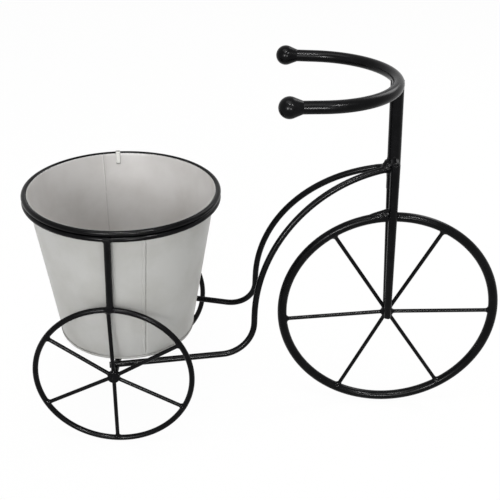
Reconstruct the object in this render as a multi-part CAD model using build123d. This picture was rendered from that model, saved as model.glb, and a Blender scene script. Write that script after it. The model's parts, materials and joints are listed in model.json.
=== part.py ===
from build123d import *
from math import acos, atan2, cos, hypot, radians, sin, tan
import os

# Bicycle planter: a three-wheeled stand of welded steel rod, with a sheet-steel pot hung in a ring
# over its back axle. Millimetres and degrees. +Z is up and +X points to the front wheel. The origin
# lies on the ground, under the middle of the planter's overall length and width.

# Stand as a whole
quarter_turn = 90.0
wheelbase = 300.8  # front hub to back axle
head_lean = 3.6  # degrees that the post and fork lean to the rear
weld_gap = 0.1  # between rods that cross or lie side by side and are welded there
weld_leg = 1.1  # how far a weld collar stands out past the rod that it runs round
sliver_share = 0.1  # a cut-off smaller than this share of the largest is dropped

# Front wheel
front_wheel_d = 250.0
front_rim_rod_d = 10.5
front_spoke_d = 4.4
front_spoke_angles = (2.9, 64.0, 125.2, 187.2, 245.8, 305.7)  # from +X, seen from the right side
front_hub_d = 13.6
front_hub_length = 5.2

# Rear wheels
rear_wheel_d = 174.6
rear_rim_rod_d = 6.1
rear_spoke_d = 4.3
rear_spoke_angles = (31.5, 91.3, 145.6, 207.2, 270.4, 333.0)
rear_hub_d = 13.0
rear_hub_length = 6.4
hub_edge_r = 1.0
joint_share = 0.5  # where the ends of a rim meet, on the way from its last spoke to its first

# Head post and handlebar
post_tube_d = 14.0
post_tube_wall = 1.5
post_foot_gap = 29.0  # above the top of the front wheel
post_length = 116.2  # from its foot up to the middle of the handlebar's tube
handlebar_tube_d = 12.5
handlebar_tube_wall = 1.5
handlebar_bend_r = 84.7
handlebar_flare = 4.3  # degrees by which each arm opens outwards to the rear
handlebar_tilt = 1.0  # degrees by which the arms drop to the rear
handlebar_arm_length = 18.9
ball_d = 20.8
ball_reach = 12.4  # from the tube's end to the middle of the ball
spigot_length = 10.0
spigot_gap = 0.05

# Fork
leg_top_d = 10.3
leg_foot_d = 7.9
leg_lap = 32.0  # how far the fork legs rise beside the post
leg_overhang = 4.5  # below the middle of the hub
leg_edge_r = 0.8
lap_shares = (0.2, 0.5)  # heights of the lap welds, from the post's foot to the tops of the legs
rim_weld_run = 24.0  # how far the weld between fork and rim runs back along the top of the rim
rim_weld_rise = 4.0  # how high it stands over the rim at the fork

# Frame rails
rail_rod_d = 6.8
rail_post_rise = 22.6  # from the post's foot up to where the rails meet it
rail_shoulder_drop = 25.3  # from there down to the shoulder, where the wide arc has its corner
rail_setback = 26.4  # from the back of the front wheel to the rails' upright stretch
rail_arc_share = 0.978  # share of the shorter straight beside the shoulder that the wide arc takes
rail_bend_r = 36.0
rail_run_rise = 2.4  # how much higher the rails are at the small bend than over the axle
rail_spread_at_shoulder = 54.8
rail_spread_at_bend = 95.4
rail_axle_inset = 11.0  # from the plane of a rear wheel in to the rail's end
rail_overhang = 6.0  # behind the axle
rail_bite = 1.6  # how far a rail's end is let into the back of the post
head_weld_r = 8.2  # of the weld metal where the rails meet the post

# Axle, uprights and pot ring
axle_rod_d = 7.2
upright_rod_d = 7.1
cope_share = 0.4  # share of a rod's radius by which an upright's end stops short of its middle
well_share = 0.75  # share of the ring rod's radius by which its welds may reach in over the pot's space
upright_rise = 86.0  # from the top of the rear wheels up to the middle of the pot ring's rod
upright_lean = 12.65  # how far each upright leans out on its way up to the ring
pot_ring_d = 205.4  # to the middle of the rod
pot_ring_rod_d = 5.8
pot_ahead_of_axle = 3.6

# Pot
rest_gap = 0.3  # between the pot's rim bead and the ring that carries it
pot_sheet = 0.8
pot_over_rails = 1.9  # between the underside of the pot and the rails
pot_clearance = 0.6  # between the pot's wall and the feet of the uprights
sheet_gap = 0.05
rim_bead_d = 5.8
lip_above_bead = 1.8  # top edge of the wall above the middle of the bead
base_recess = 2.5
base_seam_height = 3.4
seam_turn = 20.5  # degrees from the pot's near side round to its first lock seam
seam_width = 4.0
seam_thickness = 0.6
seam_clearance = 1.5  # between a lock seam's top end and the pot ring
clip_turn = 11.0  # degrees from the pot's left side round towards its back
clip_width = 5.0
clip_thickness = 0.8
clip_leg = 13.0
clip_gap = 0.1
clip_overlap = 1.5  # past the middle of the bead

# Sizes that follow
front_rim_r = front_rim_rod_d / 2
rear_rim_r = rear_rim_rod_d / 2
post_r = post_tube_d / 2
leg_top_r = leg_top_d / 2
leg_foot_r = leg_foot_d / 2
rail_r = rail_rod_d / 2
axle_r = axle_rod_d / 2
upright_r = upright_rod_d / 2
ring_rod_r = pot_ring_rod_d / 2
bead_r = rim_bead_d / 2
ring_reach = pot_ring_d / 2 + max(ring_rod_r, bead_r) - pot_ahead_of_axle
front_hub_x = (wheelbase + max(rear_wheel_d / 2, ring_reach) - front_wheel_d / 2) / 2
front_hub_z = front_wheel_d / 2
rear_hub_x = front_hub_x - wheelbase
rear_hub_z = rear_wheel_d / 2
rear_track = pot_ring_d - 2 * upright_lean
pot_x = rear_hub_x + pot_ahead_of_axle
post_foot_height = front_wheel_d + post_foot_gap
handlebar_height = post_foot_height + post_length
leg_top_height = post_foot_height + leg_lap
rail_post_height = post_foot_height + rail_post_rise
rail_shoulder_height = rail_post_height - rail_shoulder_drop
rail_drop_x = front_hub_x - front_wheel_d / 2 - rail_setback
rail_run_z = rear_hub_z + axle_r + rail_r + weld_gap
rail_axle_y = rear_track / 2 - rail_axle_inset
pot_ring_height = rear_wheel_d + upright_rise
pot_foot_height = rail_run_z + rail_r + pot_over_rails
bead_z = pot_ring_height + ring_rod_r + bead_r + rest_gap
lip_z = bead_z + lip_above_bead
sides = {"left": 1, "right": -1}


def post_x(z):
    """Where the middle of the leaning post and fork lies at height z."""
    return front_hub_x - (z - front_hub_z) * tan(radians(head_lean))


def rod(start, end, diameter):
    """A straight round rod between two points."""
    run = Vector(*end) - Vector(*start)
    seat = (Align.CENTER, Align.CENTER, Align.MIN)
    return Plane(origin=start, z_dir=run) * Cylinder(diameter / 2, run.length, align=seat)


def largest(shape):
    """The largest solid that a cut leaves."""
    return shape.solids().sort_by(SortBy.VOLUME)[-1]


def cut(shape, *others):
    """The shape with its neighbours cut away, as one solid."""
    for other in others:
        shape = shape - other
    return largest(shape)


def chunks(shape, *others):
    """Every solid of real size that is left when a shape's neighbours are cut away."""
    for other in others:
        shape = shape - other
    least = largest(shape).volume * sliver_share
    return [solid for solid in shape.solids() if solid.volume > least]


def bead(centre, radius, *members):
    """A round weld bead, cut to fit the members that it joins."""
    return cut(Pos(*centre) * Sphere(radius), *members)


def group(solids):
    """Separate solids that share one node."""
    return Compound(children=list(solids))


def hub_boss(diameter, length):
    """A short round boss with softened edges."""
    boss = Cylinder(diameter / 2, length)
    return fillet(boss.edges().filter_by(GeomType.CIRCLE), hub_edge_r)


def wheel(name, centre, wheel_d, rod_d, spoke_d, spoke_angles, hub_d, hub_length):
    """One spoked wheel as its rim, hub, spokes and spoke welds; its rim's ends meet between two spokes."""
    gap_turn = spoke_angles[0] + 4 * quarter_turn - spoke_angles[-1]
    joint = radians(spoke_angles[-1] + joint_share * gap_turn)
    upright = Plane(origin=centre, x_dir=(cos(joint), 0, sin(joint)), z_dir=(0, 1, 0))
    ring_r = wheel_d / 2 - rod_d / 2
    rim = upright * Torus(ring_r, rod_d / 2)
    full_hub = upright * Cylinder(hub_d / 2, hub_length)
    nodes = {f"{name}_rim": rim, f"{name}_hub": upright * hub_boss(hub_d, hub_length)}
    weld_reach = ring_r - rod_d / 2
    weld_r = spoke_d / 2 + weld_leg
    welds = []
    middle = Vector(*centre)
    for index, angle in enumerate(spoke_angles):
        out = Vector(cos(radians(angle)), 0, sin(radians(angle)))
        spoke = cut(rod(middle, middle + out * ring_r, spoke_d), full_hub, rim)
        nodes[f"{name}_spoke_{index + 1}"] = spoke
        spot = Plane(origin=middle + out * weld_reach, z_dir=out)
        welds.append(cut(spot * Sphere(weld_r), rim, spoke))
    nodes[f"{name}_spoke_welds"] = group(welds)
    return nodes


def handlebar_ends():
    """End points, arm directions and apex of the handlebar's middle line, keyed by side."""
    sweep_angle = radians(quarter_turn - handlebar_flare)
    apex = Vector(post_x(handlebar_height), 0, handlebar_height)
    back = Vector(-cos(radians(handlebar_tilt)), 0, -sin(radians(handlebar_tilt)))
    ends = {}
    for side, sign in sides.items():
        out = Vector(0, sign, 0)
        arm = back * sin(sweep_angle) + out * cos(sweep_angle)
        reach = back * (1 - cos(sweep_angle)) + out * sin(sweep_angle)
        bend = apex + reach * handlebar_bend_r
        ends[side] = (bend, arm, bend + arm * handlebar_arm_length)
    return apex, ends


def handlebar_sweep(diameter):
    """A round bar along the handlebar's middle line: two arms and the bend that joins them."""
    apex, ends = handlebar_ends()
    left_bend, left_arm, left_end = ends["left"]
    right_bend, right_arm, right_end = ends["right"]
    path = Wire([Line(left_end, left_bend), ThreePointArc(left_bend, apex, right_bend),
                 Line(right_bend, right_end)])
    return sweep(Plane(origin=left_end, z_dir=-left_arm) * Circle(diameter / 2), path=path)


def ball_end(end, arm):
    """A ball that runs down in a cone to the tube, with a spigot inside the tube."""
    ball_r = ball_d / 2
    tube_r = handlebar_tube_d / 2
    point_angle = atan2(tube_r, ball_reach)
    tangent_angle = point_angle + acos(ball_r / hypot(ball_reach, tube_r))
    cone_start = ball_r * cos(tangent_angle)
    cone_length = ball_reach - cone_start
    seat = (Align.CENTER, Align.CENTER, Align.MIN)
    cone = Pos(0, 0, cone_start) * Cone(ball_r * sin(tangent_angle), tube_r, cone_length, align=seat)
    spigot_r = tube_r - handlebar_tube_wall - spigot_gap
    spigot = Cylinder(spigot_r, ball_reach + spigot_length, align=seat)
    piece = Sphere(ball_r) + cone + spigot
    return Plane(origin=end + arm * ball_reach, z_dir=-arm) * piece


def head(rails, legs):
    """The post, the handlebar with its ball ends, and the welds at the top of the stand."""
    foot = (post_x(post_foot_height), 0, post_foot_height)
    top = (post_x(handlebar_height), 0, handlebar_height)
    solid_bar = handlebar_sweep(handlebar_tube_d)
    post_bar = rod(foot, top, post_tube_d)
    bore = rod(foot, top, post_tube_d - 2 * post_tube_wall)
    nodes = {"head_post": cut(post_bar, bore, solid_bar)}
    nodes["handlebar"] = solid_bar - handlebar_sweep(handlebar_tube_d - 2 * handlebar_tube_wall)
    _, ends = handlebar_ends()
    for side, (_, arm, end) in ends.items():
        nodes[f"ball_end_{side}"] = ball_end(end, arm)
    rail_weld = (post_x(rail_post_height) - post_r, 0, rail_post_height + weld_leg)
    nodes["rail_head_weld"] = bead(rail_weld, head_weld_r, post_bar, *rails, *legs)
    collar_z = handlebar_height - handlebar_tube_d / 2
    collar = (post_x(collar_z), 0, collar_z)
    nodes["handlebar_weld"] = bead(collar, post_r + weld_leg, post_bar, solid_bar)
    return nodes


def leg_y(z):
    """How far a fork leg's middle lies from the wheel's plane at height z.

    The leg is straight. It starts against the hub's end, clears the rim and lies along the post.
    """
    low_z = front_hub_z - leg_overhang
    low_y = front_hub_length / 2 + leg_foot_r + weld_gap
    rim_z = front_wheel_d - front_rim_r
    rim_share = (rim_z - low_z) / (post_foot_height - low_z)
    past_rim = (front_rim_r + leg_top_r + weld_gap - low_y) / rim_share
    foot_y = max(post_r + leg_top_r + weld_gap, low_y + past_rim)
    return low_y + (foot_y - low_y) * (z - low_z) / (post_foot_height - low_z)


def fork_leg(sign):
    """One fork leg, tapering from above the post's foot to just below the hub."""
    top = Vector(post_x(leg_top_height), sign * leg_y(leg_top_height), leg_top_height)
    low_z = front_hub_z - leg_overhang
    low = Vector(post_x(low_z), sign * leg_y(low_z), low_z)
    run = top - low
    seat = (Align.CENTER, Align.CENTER, Align.MIN)
    leg = Plane(origin=low, z_dir=run) * Cone(leg_foot_r, leg_top_r, run.length, align=seat)
    return fillet(leg.edges().filter_by(GeomType.CIRCLE), leg_edge_r)


def rim_weld_ridge(rim_x):
    """A round ridge that rises to the fork out of the top of the rim, from behind it."""
    ridge_r = front_rim_r - weld_leg
    swing = (front_hub_x - rim_x + rim_weld_run) / front_hub_z
    reach = front_hub_z - ridge_r
    back = (front_hub_x - reach * sin(swing), 0, front_hub_z + reach * cos(swing))
    return rod(back, (rim_x, 0, front_wheel_d + rim_weld_rise - ridge_r), 2 * ridge_r)


def fork_welds(legs, rim, hub):
    """Weld beads that hold the fork legs to the post, the rim and the hub."""
    foot = (post_x(post_foot_height), 0, post_foot_height)
    top = (post_x(handlebar_height), 0, handlebar_height)
    post_bar = rod(foot, top, post_tube_d)
    lap_r = leg_top_r - weld_leg
    laps = []
    for sign in sides.values():
        for share in lap_shares:
            z = post_foot_height + share * (leg_top_height - post_foot_height)
            crevice = (post_x(z) + leg_top_r - weld_leg / 2, sign * (post_r + weld_leg / 2), z)
            laps.append(bead(crevice, lap_r, post_bar, *legs))
        cap = (post_x(leg_top_height), sign * (post_r + leg_top_r / 2), leg_top_height)
        laps.append(bead(cap, leg_top_r - weld_leg / 2, post_bar, *legs))
    rim_z = front_wheel_d - front_rim_r
    rim_x = post_x(rim_z)
    crossing = Pos(rim_x, 0, rim_z) * Sphere(front_rim_r + 2 * weld_leg)
    rim_weld = cut(crossing + rim_weld_ridge(rim_x), rim, *legs)
    hub_welds = []
    for sign in sides.values():
        spot = (front_hub_x, sign * (front_hub_length / 2 + weld_leg), front_hub_z)
        puddle = Pos(*spot) * Sphere(front_hub_d / 2 - hub_edge_r)
        hub_welds += chunks(puddle, hub, *legs)
    return {"fork_lap_welds": group(laps), "fork_rim_weld": rim_weld, "fork_hub_welds": group(hub_welds)}


def rail(sign):
    """One frame rail: post, wide arc, upright stretch, small bend, run to the axle."""
    axle_end = Vector(rear_hub_x - rail_overhang, sign * rail_axle_y, rail_run_z)
    bend = Vector(rail_drop_x, sign * rail_spread_at_bend / 2, rail_run_z + rail_run_rise)
    shoulder = Vector(rail_drop_x, sign * rail_spread_at_shoulder / 2, rail_shoulder_height)
    end_x = post_x(rail_post_height) - post_r + rail_bite
    post_end = Vector(end_x, sign * (rail_r + weld_gap), rail_post_height)
    down = bend - shoulder
    ahead = post_end - shoulder
    arc_reach = rail_arc_share * min(ahead.length, down.length - rail_bend_r)
    arc_r = arc_reach * tan(radians(down.get_angle(ahead) / 2))
    path = FilletPolyline(axle_end, bend, shoulder, post_end, radius=[rail_bend_r, arc_r])
    bar = sweep(Plane(origin=path @ 0, z_dir=path % 0) * Circle(rail_r), path=path)
    post_bar = rod((post_x(post_foot_height), 0, post_foot_height),
                   (post_x(handlebar_height), 0, handlebar_height), post_tube_d)
    return cut(bar, post_bar)


def rail_y(x):
    """How far a rail's middle lies from the middle plane at x, on its run to the axle."""
    end_x = rear_hub_x - rail_overhang
    share = (rail_drop_x - x) / (rail_drop_x - end_x)
    bend_y = rail_spread_at_bend / 2
    return bend_y + share * (rail_axle_y - bend_y)


def axle_and_welds(rails, hubs):
    """The back axle between the rear hubs, with its welds to the rails and hubs."""
    half = rear_track / 2 - rear_hub_length / 2
    axle = rod((rear_hub_x, -half, rear_hub_z), (rear_hub_x, half, rear_hub_z), axle_rod_d)
    rail_welds = []
    hub_welds = []
    for sign in sides.values():
        hub_weld = bead((rear_hub_x, sign * half, rear_hub_z), axle_r + weld_leg, axle, *hubs)
        crossing = (rear_hub_x, sign * rail_y(rear_hub_x), rear_hub_z + axle_r)
        rail_welds.append(bead(crossing, rail_r + 2 * weld_leg, axle, *rails, hub_weld))
        hub_welds.append(hub_weld)
    return {"back_axle": axle, "axle_rail_welds": group(rail_welds), "axle_hub_welds": group(hub_welds)}


def pot_ring_and_uprights(rims):
    """The ring that the pot hangs in, on an upright from the top of each rear wheel."""
    ring = Pos(pot_x, 0, pot_ring_height) * Torus(pot_ring_d / 2, ring_rod_r)
    nodes = {"pot_ring": ring}
    well_r = pot_ring_d / 2 - ring_rod_r * well_share
    pot_space = Pos(pot_x, 0, pot_ring_height) * Cylinder(well_r, pot_ring_height)
    weld_r = upright_r + weld_leg
    waist_r = wall_outer_r(rear_wheel_d + weld_r) + rest_gap
    waist_space = Pos(pot_x, 0, rear_wheel_d) * Cylinder(waist_r, pot_ring_height)
    rim_z = rear_wheel_d - rear_rim_r
    foot_welds = []
    head_welds = []
    for side, sign in sides.items():
        foot = Vector(rear_hub_x, sign * rear_track / 2, rim_z)
        top = Vector(pot_x, sign * pot_ring_d / 2, pot_ring_height)
        up = (top - foot).normalized()
        start = foot + up * (rear_rim_r * cope_share)
        end = top - up * (ring_rod_r * cope_share)
        upright = cut(rod(start, end, upright_rod_d), rims[side], ring)
        nodes[f"upright_{side}"] = upright
        foot_welds.append(bead(foot + up * rear_rim_r, weld_r, upright, rims[side], waist_space))
        head_welds.append(bead(top - up * ring_rod_r, weld_r, upright, ring, pot_space))
    nodes["upright_foot_welds"] = group(foot_welds)
    nodes["upright_head_welds"] = group(head_welds)
    return nodes


def wall_outer_r(z):
    """Outside radius of the pot's tapered wall at height z.

    The taper runs from the rim bead down past the feet of the uprights, on top of the rear wheels.
    """
    top_r = pot_ring_d / 2 - bead_r - sheet_gap
    waist_r = rear_track / 2 - upright_r - pot_clearance
    return waist_r + (top_r - waist_r) * (z - rear_wheel_d) / (bead_z - rear_wheel_d)


def wall_inner_r(z):
    """Inside radius of the pot's tapered wall at height z."""
    return wall_outer_r(z) - pot_sheet


def turned(points, arc=360):
    """A profile of radius and height points turned about the vertical axis."""
    return revolve(Plane.XZ * make_face(Polyline(*points, close=True)), axis=Axis.Z, revolution_arc=arc)


def pot_wall_half(turn):
    """Half of the pot's wall, with one lock seam folded up along its leading edge."""
    low_z = pot_foot_height + pot_sheet + sheet_gap
    wall = turned([(wall_inner_r(low_z), low_z), (wall_outer_r(low_z), low_z),
                   (wall_outer_r(lip_z), lip_z), (wall_inner_r(lip_z), lip_z)])
    fold_low = pot_foot_height + base_seam_height + seam_clearance
    fold_top = pot_ring_height - ring_rod_r - seam_clearance
    fold = turned([(wall_inner_r(fold_low), fold_low), (wall_outer_r(fold_low) + seam_thickness, fold_low),
                   (wall_outer_r(fold_top) + seam_thickness, fold_top), (wall_inner_r(fold_top), fold_top)])
    reach = pot_ring_d
    above = lip_z + reach
    half_space = Box(2 * reach, reach, above, align=(Align.CENTER, Align.MIN, Align.MIN))
    strip = Box(reach, seam_width, above, align=(Align.MIN, Align.MIN, Align.MIN))
    half = (wall & half_space) + (fold & strip)
    return Pos(pot_x, 0, 0) * Rot(0, 0, turn) * largest(half)


def pot_base():
    """The base: a raised disc whose edge is folded round the wall's bottom edge."""
    low = pot_foot_height
    floor = low + base_recess
    top = low + base_seam_height
    return Pos(pot_x, 0, 0) * turned([
        (0, floor),
        (wall_inner_r(floor) - sheet_gap - pot_sheet, floor),
        (wall_inner_r(low) - sheet_gap - pot_sheet, low),
        (wall_outer_r(low) + sheet_gap + pot_sheet, low),
        (wall_outer_r(top) + sheet_gap + pot_sheet, top),
        (wall_outer_r(top) + sheet_gap, top),
        (wall_outer_r(low + pot_sheet) + sheet_gap, low + pot_sheet),
        (wall_inner_r(low + pot_sheet) - sheet_gap, low + pot_sheet),
        (wall_inner_r(floor + pot_sheet) - sheet_gap, floor + pot_sheet),
        (0, floor + pot_sheet),
    ])


def rim_clip():
    """A small strap that lies on the bead and reaches down inside the wall."""
    under = bead_z + bead_r + clip_gap
    low = under - clip_leg
    inner = clip_gap + clip_thickness
    tip = pot_ring_d / 2 + clip_overlap
    profile = Polyline(
        (tip, under),
        (tip, under + clip_thickness),
        (wall_inner_r(under) - inner, under + clip_thickness),
        (wall_inner_r(low) - inner, low),
        (wall_inner_r(low) - clip_gap, low),
        (wall_inner_r(under) - clip_gap, under),
        close=True,
    )
    strap = extrude(Plane.YZ * make_face(profile), amount=clip_width / 2, both=True)
    return Pos(pot_x, 0, 0) * Rot(0, 0, clip_turn) * strap


def pot():
    """The pot's pieces: two wall halves, base, rim bead and rim clip."""
    first_turn = seam_turn - quarter_turn
    return {
        "pot_wall_front": pot_wall_half(first_turn),
        "pot_wall_back": pot_wall_half(first_turn + 2 * quarter_turn),
        "pot_base": pot_base(),
        "pot_rim_bead": Pos(pot_x, 0, bead_z) * Torus(pot_ring_d / 2, bead_r),
        "rim_clip": rim_clip(),
    }


def planter():
    """Every node of the planter, by name."""
    nodes = {}
    nodes.update(wheel("front", (front_hub_x, 0, front_hub_z), front_wheel_d, front_rim_rod_d,
                       front_spoke_d, front_spoke_angles, front_hub_d, front_hub_length))
    for side, sign in sides.items():
        centre = (rear_hub_x, sign * rear_track / 2, rear_hub_z)
        nodes.update(wheel(f"rear_{side}", centre, rear_wheel_d, rear_rim_rod_d, rear_spoke_d,
                           rear_spoke_angles, rear_hub_d, rear_hub_length))
    legs = {side: fork_leg(sign) for side, sign in sides.items()}
    rails = {side: rail(sign) for side, sign in sides.items()}
    for side in sides:
        nodes[f"fork_leg_{side}"] = legs[side]
        nodes[f"rail_{side}"] = rails[side]
    nodes.update(head(rails.values(), legs.values()))
    nodes.update(fork_welds(legs.values(), nodes["front_rim"], nodes["front_hub"]))
    hubs = [nodes[f"rear_{side}_hub"] for side in sides]
    nodes.update(axle_and_welds(rails.values(), hubs))
    nodes.update(pot_ring_and_uprights({side: nodes[f"rear_{side}_rim"] for side in sides}))
    nodes.update(pot())
    return nodes


os.makedirs("parts", exist_ok=True)
for node_name, shape in planter().items():
    export_step(shape, f"parts/{node_name}.step")
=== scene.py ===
import json
import logging
import math
from dataclasses import dataclass, field
from enum import Enum

import bpy
import numpy as np
from bpy.types import Material, NodeSocket as Socket, NodeTree
from mathutils import Matrix, Vector


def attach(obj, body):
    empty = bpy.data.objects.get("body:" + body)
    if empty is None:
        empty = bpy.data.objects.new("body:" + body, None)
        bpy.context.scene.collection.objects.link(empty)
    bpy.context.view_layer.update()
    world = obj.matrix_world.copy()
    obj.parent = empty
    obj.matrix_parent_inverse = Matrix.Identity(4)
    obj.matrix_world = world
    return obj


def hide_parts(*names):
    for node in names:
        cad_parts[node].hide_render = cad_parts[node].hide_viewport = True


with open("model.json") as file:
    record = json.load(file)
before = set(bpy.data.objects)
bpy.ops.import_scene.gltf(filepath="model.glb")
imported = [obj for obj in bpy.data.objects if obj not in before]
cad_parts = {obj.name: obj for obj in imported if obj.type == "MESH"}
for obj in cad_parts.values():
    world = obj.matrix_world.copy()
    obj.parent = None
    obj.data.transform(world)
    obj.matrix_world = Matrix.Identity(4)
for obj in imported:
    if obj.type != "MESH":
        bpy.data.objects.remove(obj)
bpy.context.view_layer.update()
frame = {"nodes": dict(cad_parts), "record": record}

LOG = logging.getLogger("bicycle_planter")
MM = 0.001
WHITE = "#ffffff"


class Body(Enum):
    """The two bodies of the planter that a piece can ride on."""

    STAND = "stand"
    POT = "pot"


class Slot(Enum):
    """The record's material slots."""

    BLACK_PAINT = "black_paint"
    PALE_SHEET = "pale_sheet"
    BARE_STEEL = "bare_steel"


def linear(hex_colour: str) -> tuple[float, float, float, float]:
    """Turn an sRGB hex colour into linear RGBA.

    Args:
        hex_colour: six hex digits with a leading hash.

    Returns:
        The linear colour with an alpha of one.
    """
    srgb = np.array([int(hex_colour[i:i + 2], 16) for i in (1, 3, 5)]) / 255
    rgb = np.where(srgb <= 0.04045, srgb / 12.92, ((srgb + 0.055) / 1.055) ** 2.4)
    return (*map(float, rgb), 1.0)


def add_node(tree: NodeTree, kind: str, settings: dict | None = None,
             links: dict | None = None) -> bpy.types.Node:
    """Add one node to a tree, set its properties and inputs, and link its inputs.

    Args:
        tree: the node tree.
        kind: the node's type name without ShaderNode at its front.
        settings: values by property name, or by the name or number of an input.
        links: output sockets by the name or number of the input that each goes to.

    Returns:
        The new node.
    """
    node = tree.nodes.new(f"ShaderNode{kind}")
    for key, value in (settings or {}).items():
        if isinstance(key, str) and hasattr(node, key):
            setattr(node, key, value)
        else:
            node.inputs[key].default_value = value
    for key, socket in (links or {}).items():
        tree.links.new(socket, node.inputs[key])
    return node


def new_material(name: str) -> tuple[Material, NodeTree]:
    """Make an empty node material.

    Args:
        name: the material's name.

    Returns:
        The material and its cleared node tree.
    """
    material = bpy.data.materials.new(name)
    material.use_nodes = True
    material.node_tree.nodes.clear()
    return material, material.node_tree


@dataclass(frozen=True)
class Noise:
    """A noise pattern on Object coordinates: its features' size, and their depth where it is a bump.

    A small squeeze along an axis draws the pattern out along that axis.
    """

    size_mm: float
    detail: float
    depth_mm: float = 0.0
    squeeze: tuple[float, float, float] = (1.0, 1.0, 1.0)
    roughness: float = 0.5
    distortion: float = 0.0

    def value(self, tree: NodeTree) -> Socket:
        """The pattern in that tree, from zero to one."""
        place = add_node(tree, "TexCoord").outputs["Object"]
        place = add_node(tree, "Mapping", {"Scale": self.squeeze}, {"Vector": place}).outputs["Vector"]
        settings = {"Scale": 1 / (self.size_mm * MM), "Detail": self.detail, "Roughness": self.roughness,
                    "Distortion": self.distortion}
        return add_node(tree, "TexNoise", settings, {"Vector": place}).outputs["Fac"]


@dataclass(frozen=True)
class Finish:
    """A procedural finish: two colours and two roughnesses mixed by noise, over noise bumps.

    The edges are the values of the shade's noise between which the first colour turns into the second.
    """

    name: str
    colours: tuple[str, str]
    shade: Noise
    gloss: Noise
    bumps: tuple[Noise, ...]
    roughness: tuple[float, float]
    edges: tuple[float, float] = (0.0, 1.0)
    ior: float = 1.5
    metallic: float = 0.0

    def build(self) -> Material:
        """Make the material, with each bump laid over the one before it."""
        material, tree = new_material(self.name)
        share = add_node(tree, "MapRange", dict(zip(("From Min", "From Max"), self.edges)),
                         {"Value": self.shade.value(tree)})
        rough = add_node(tree, "MapRange", dict(zip(("To Min", "To Max"), self.roughness)),
                         {"Value": self.gloss.value(tree)})
        first, second = map(linear, self.colours)
        colour = add_node(tree, "Mix", {"data_type": "RGBA", 6: first, 7: second},
                          {0: share.outputs["Result"]})
        below = {}
        for bump in self.bumps:
            settings = {"Distance": bump.depth_mm * MM, "Strength": 1.0}
            node = add_node(tree, "Bump", settings, {"Height": bump.value(tree), **below})
            below = {"Normal": node.outputs["Normal"]}
        shader = add_node(tree, "BsdfPrincipled", {"Metallic": self.metallic, "IOR": self.ior},
                          {"Base Color": colour.outputs[2], "Roughness": rough.outputs["Result"], **below})
        add_node(tree, "OutputMaterial", links={"Surface": shader.outputs["BSDF"]})
        return material


# Sprayed gloss black enamel on drawn steel rod. The eye gets a deep black with thin bright lamp lines,
# which waver a little because the sprayed film has orange peel and the rod below it drawing marks. The
# peel is drawn 1.6 mm across and the marks 17 mm long, as finer ones wouldn't show.
DUST = Noise(14.0, 4.0)
BLACK_ENAMEL = Finish("gloss_black_enamel", ("#030304", "#0b0b0d"), DUST, DUST,
                      (Noise(17.0, 2.0, 0.018), Noise(1.6, 2.0, 0.0015)), (0.19, 0.27), (0.42, 0.72), 1.17)

# The same enamel over arc-weld metal, which was not ground. The eye gets a lumpier black with small
# broken glints where the puddles froze in ripples. The ripples are drawn 1.3 mm and the grit on them
# 0.6 mm across, about as coarse as they need to show.
RIPPLES, GRIT = Noise(1.3, 3.0, 0.16, distortion=0.6), Noise(0.6, 2.0, 0.03)
WELD_ENAMEL = Finish("black_enamel_on_weld", ("#040405", "#0e0e10"), RIPPLES, GRIT, (RIPPLES, GRIT),
                     (0.10, 0.24), ior=1.15)

# Galvanised steel strap, rolled and sheared. The eye gets a pale dull metal with rolling lines along
# its length, drawn 0.5 mm wide, as finer ones wouldn't show.
ROLLING = Noise(0.5, 3.0, 0.01, squeeze=(1.0, 0.08, 0.08))
GALVANISED_STRAP = Finish("galvanised_steel_strap", ("#82827e", "#a2a29f"), ROLLING, ROLLING, (ROLLING,),
                          (0.38, 0.55), metallic=0.35)

# Semi-gloss off-white baked paint on thin sheet steel. The eye gets a pale grey face with soft
# reflections of the rods before it, which bend where the sheet isn't quite flat, and faint handling
# smudges. The peel is drawn 1.4 mm across, as finer peel wouldn't show. The inside's copy is painted
# paler and a little warmer: painted light and a painted warm reflection on the shaded inside. The
# seams' copy is painted darker: painted shade in the creases of the seams.
SMUDGES = Noise(46.0, 5.0, roughness=0.55)
SHEET_BUMPS = (Noise(60.0, 1.0, 0.5, squeeze=(1.0, 1.0, 0.35)), Noise(1.4, 2.0, 0.006))
OFF_WHITE_SHEET, OFF_WHITE_INSIDE_PAINTED_LIGHT, OFF_WHITE_PAINTED_SHADE = (
    Finish(name, colours, SMUDGES, SMUDGES, SHEET_BUMPS, (0.36, 0.48), (0.40, 0.75), 1.45)
    for name, colours in (("off_white_sheet_paint", ("#acacaa", "#a09f9b")),
                          ("off_white_sheet_paint_inside_painted_light", ("#c4c2c0", "#b6b3b0")),
                          ("off_white_painted_seam_shade", ("#8d8c88", "#7c7a76"))))


def seen_share(tree: NodeTree) -> Socket:
    """One for camera, glossy and transmission rays, and zero for the rays that only carry light."""
    rays = add_node(tree, "LightPath").outputs
    bounced = add_node(tree, "Math", {"operation": "MAXIMUM"},
                       {0: rays["Is Glossy Ray"], 1: rays["Is Transmission Ray"]})
    return add_node(tree, "Math", {"operation": "MAXIMUM"},
                    {0: rays["Is Camera Ray"], 1: bounced.outputs["Value"]}).outputs["Value"]


@dataclass(frozen=True)
class WhiteSweep:
    """The pale studio floor: matt paper that the camera and reflections see as nearly white."""

    name: str = "white_paper_sweep"
    paper: str = "#f4f4f2"
    whitened: float = 0.96

    def build(self) -> Material:
        """Make the material."""
        material, tree = new_material(self.name)
        share = add_node(tree, "Math", {"operation": "MULTIPLY", 1: self.whitened}, {0: seen_share(tree)})
        paper = add_node(tree, "BsdfDiffuse", {"Color": linear(self.paper)})
        white = add_node(tree, "Emission", {"Color": linear(WHITE), "Strength": 1.0})
        mix = add_node(tree, "MixShader", links={0: share.outputs["Value"], 1: paper.outputs["BSDF"],
                                                 2: white.outputs["Emission"]})
        add_node(tree, "OutputMaterial", links={"Surface": mix.outputs["Shader"]})
        return material


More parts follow.
